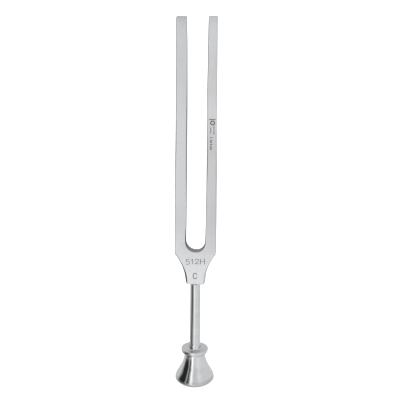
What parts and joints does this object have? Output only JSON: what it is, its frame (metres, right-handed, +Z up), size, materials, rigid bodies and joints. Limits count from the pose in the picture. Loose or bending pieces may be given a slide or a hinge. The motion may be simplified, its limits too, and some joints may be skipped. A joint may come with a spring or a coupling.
{
  "type": "tuning fork",
  "caption": "Pronged steel tuning fork with a tapered yoke, slim round stem and flared bell foot; the prongs ring when struck and the foot passes the tone on.",
  "frame": {"origin": "centre of the foot's flat underside, on the axis of the stem", "axes": "+Z up along the stem to the prong tips, X across the prongs, Y through the bar's thickness with the marked face towards -Y"},
  "size_m": [0.012, 0.0116, 0.1104],
  "materials": {
    "satin_steel": "fine satin, grain along the prongs, edges eased",
    "polished_nickel": "bright polished plating over turned steel"
  },
  "bodies": {
    "root": {"fork_head": "satin_steel", "stem": "polished_nickel", "foot": "polished_nickel"}
  },
  "joints": []
}
